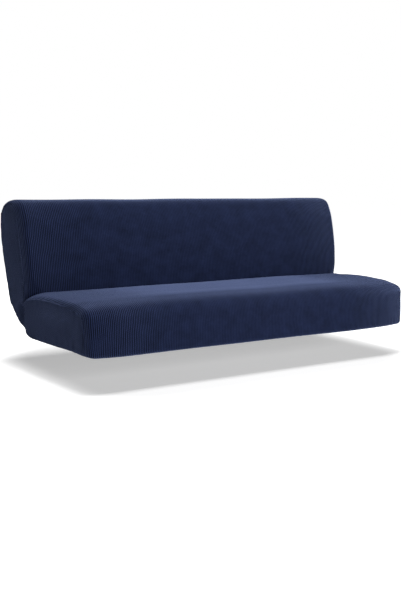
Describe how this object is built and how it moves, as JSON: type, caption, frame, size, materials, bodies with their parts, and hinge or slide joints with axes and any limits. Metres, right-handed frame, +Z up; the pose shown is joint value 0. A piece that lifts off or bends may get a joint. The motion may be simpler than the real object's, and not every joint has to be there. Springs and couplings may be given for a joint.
{
  "type": "futon cover",
  "caption": "Fitted stretch cover for an armless click-clack sofa bed: ribbed knit drawn taut over a flat seat and a reclined back, with seamed side panels and a hem that rolls under.",
  "frame": {"origin": "middle of the underside of the seat panel, where the cover rests on the seat of the sofa bed", "axes": "+X along the length of the seat, to the right of a person looking at its front; +Y from the front edge to the back; +Z up"},
  "size_m": [1.9376, 0.9409, 0.6595],
  "materials": {
    "knit": "matt ribbed stretch knit"
  },
  "bodies": {
    "root": {"seat_panel": "knit", "back_panel": "knit", "seat_side_left": "knit", "seat_side_right": "knit", "back_side_left": "knit", "back_side_right": "knit"}
  },
  "joints": []
}
